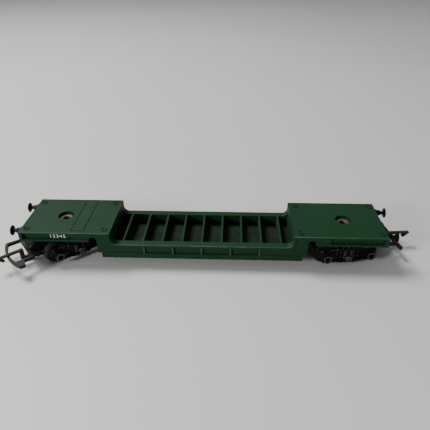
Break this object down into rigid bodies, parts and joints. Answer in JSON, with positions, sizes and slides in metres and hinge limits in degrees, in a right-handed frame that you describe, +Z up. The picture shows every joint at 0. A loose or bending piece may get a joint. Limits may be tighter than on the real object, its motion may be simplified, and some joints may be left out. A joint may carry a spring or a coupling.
{
  "type": "model railway bogie well wagon",
  "caption": "Model flat wagon with a sunken load well between two raised decks, carried on swivelling bogies with pinpoint wheelsets, buffers and loop-and-hook couplings.",
  "frame": {"origin": "the middle of the wagon, midway between the bogie swivels, at the level on which the wheel flanges stand", "axes": "+X along the wagon towards its right end, +Y across it towards the rear side, +Z up"},
  "size_m": [0.2193, 0.0502, 0.0207],
  "materials": {
    "body_green": "satin dark green paint, worn lighter along the edges",
    "bogie_black": "dusty satin black moulding",
    "buffer_black": "black, slightly glossy",
    "wheel_black": "black moulding, treads polished by running",
    "axle_steel": "dull turned steel",
    "eyelet_copper": "dull coppered steel",
    "washer_steel": "dull",
    "coupling_black": "blackened steel, browned in places",
    "hook_rust": "blackened steel with brown rust",
    "rivet_steel": "darkened steel"
  },
  "bodies": {
    "wagon": {"wagon_body": "body_green", "left_front_buffer": "buffer_black", "left_rear_buffer": "buffer_black", "right_front_buffer": "buffer_black", "right_rear_buffer": "buffer_black", "left_pivot_eyelet": "eyelet_copper", "left_pivot_washer": "washer_steel", "right_pivot_eyelet": "eyelet_copper", "right_pivot_washer": "washer_steel"},
    "left_bogie": {"left_bogie_frame": "bogie_black", "left_coupling_loop": "coupling_black", "left_coupling_rivet": "rivet_steel", "left_hook_pin": "rivet_steel"},
    "left_hook": {"left_coupling_hook": "hook_rust"},
    "left_outer_wheelset": {"left_outer_axle": "axle_steel", "left_outer_wheel_a": "wheel_black", "left_outer_wheel_b": "wheel_black"},
    "left_inner_wheelset": {"left_inner_axle": "axle_steel", "left_inner_wheel_a": "wheel_black", "left_inner_wheel_b": "wheel_black"},
    "right_bogie": {"right_bogie_frame": "bogie_black", "right_coupling_loop": "coupling_black", "right_coupling_rivet": "rivet_steel", "right_hook_pin": "rivet_steel"},
    "right_hook": {"right_coupling_hook": "hook_rust"},
    "right_outer_wheelset": {"right_outer_axle": "axle_steel", "right_outer_wheel_a": "wheel_black", "right_outer_wheel_b": "wheel_black"},
    "right_inner_wheelset": {"right_inner_axle": "axle_steel", "right_inner_wheel_a": "wheel_black", "right_inner_wheel_b": "wheel_black"}
  },
  "joints": [
    {"name": "left_swivel", "type": "hinge", "parent": "wagon", "child": "left_bogie", "pos_m": [-0.07426, 0, 0.0138], "axis": [0, 0, 1], "range_deg": [-85, 5]},
    {"name": "left_outer_wheel_spin", "type": "hinge", "parent": "left_bogie", "child": "left_outer_wheelset", "pos_m": [-0.08322, -0.00752, 0.00625], "axis": [0.6428, -0.766, 0], "continuous": true},
    {"name": "left_inner_wheel_spin", "type": "hinge", "parent": "left_bogie", "child": "left_inner_wheelset", "pos_m": [-0.0653, 0.00752, 0.00625], "axis": [0.6428, -0.766, 0], "continuous": true},
    {"name": "left_hook_lift", "type": "hinge", "parent": "left_bogie", "child": "left_hook", "pos_m": [-0.0882, -0.0117, 0.0039], "axis": [-0.6428, 0.766, 0], "range_deg": [0, 15]},
    {"name": "right_swivel", "type": "hinge", "parent": "wagon", "child": "right_bogie", "pos_m": [0.07426, 0, 0.0138], "axis": [0, 0, 1], "range_deg": [-54.4, 35.6]},
    {"name": "right_outer_wheel_spin", "type": "hinge", "parent": "right_bogie", "child": "right_outer_wheelset", "pos_m": [0.0858, 0.00191, 0.00625], "axis": [-0.1633, 0.9866, 0], "continuous": true},
    {"name": "right_inner_wheel_spin", "type": "hinge", "parent": "right_bogie", "child": "right_inner_wheelset", "pos_m": [0.06272, -0.00191, 0.00625], "axis": [-0.1633, 0.9866, 0], "continuous": true},
    {"name": "right_hook_lift", "type": "hinge", "parent": "right_bogie", "child": "right_hook", "pos_m": [0.09222, 0.00297, 0.0039], "axis": [0.1633, -0.9866, 0], "range_deg": [0, 15]}
  ]
}
